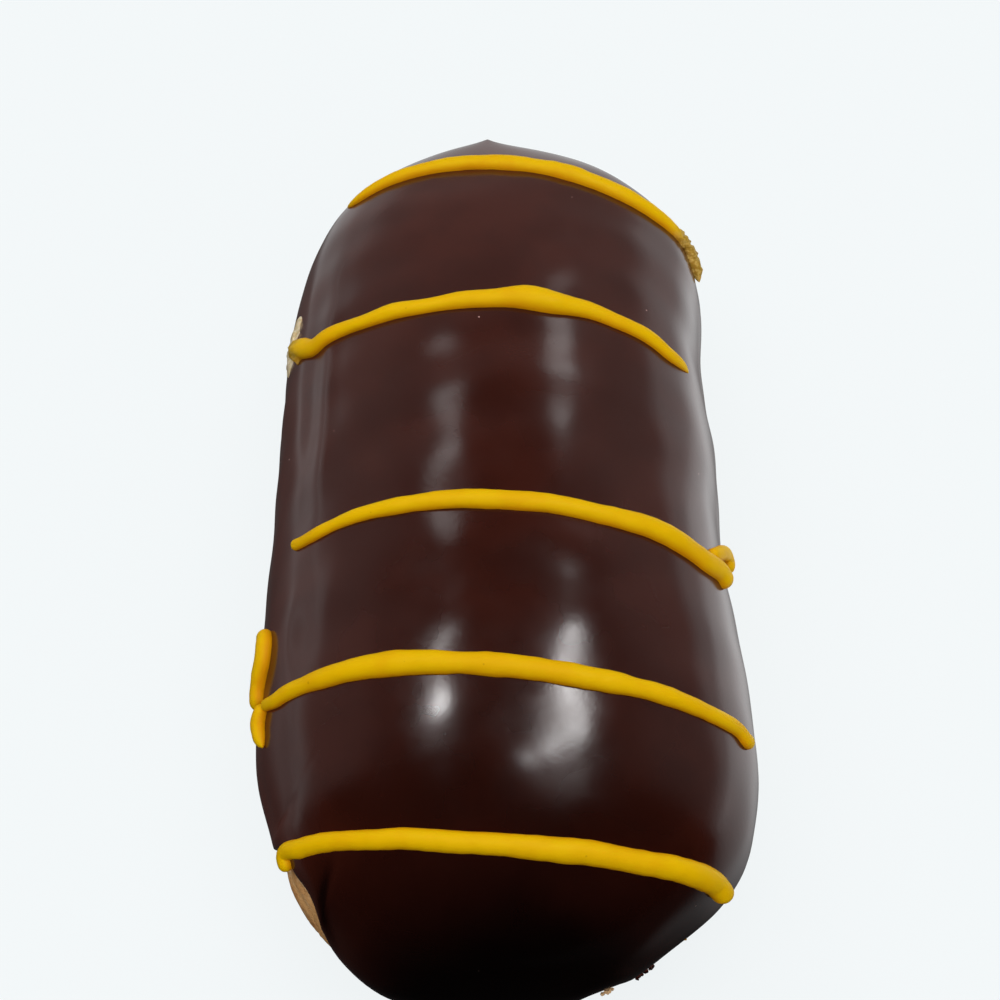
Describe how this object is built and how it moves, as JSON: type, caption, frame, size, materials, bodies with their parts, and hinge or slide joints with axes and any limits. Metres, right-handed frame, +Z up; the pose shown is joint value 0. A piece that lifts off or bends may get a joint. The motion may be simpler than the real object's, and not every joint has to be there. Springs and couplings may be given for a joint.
{
  "type": "chocolate eclair",
  "caption": "Whole choux pastry eclair with its top and sides dipped in dark chocolate icing and lines of yellow icing piped across the top, lying on its flat base.",
  "frame": {"origin": "centre of the flat base, under the middle of the whole box, at the lowest point", "axes": "+Y along the length of the eclair towards the end with the small icing peak, +Z up, +X across it to the right when seen from the bare near end"},
  "size_m": [0.061, 0.1257, 0.042],
  "materials": {
    "choux_crust": "baked golden-tan choux crust with browned ridges and fine cracks, matt",
    "dark_chocolate": "set dark chocolate icing, smooth with a soft gloss and slight waves",
    "yellow_icing": "set golden-yellow piped icing, smooth with a low satin sheen"
  },
  "bodies": {
    "root": {"choux_pastry": "choux_crust", "chocolate_icing": "dark_chocolate"}
  },
  "joints": []
}
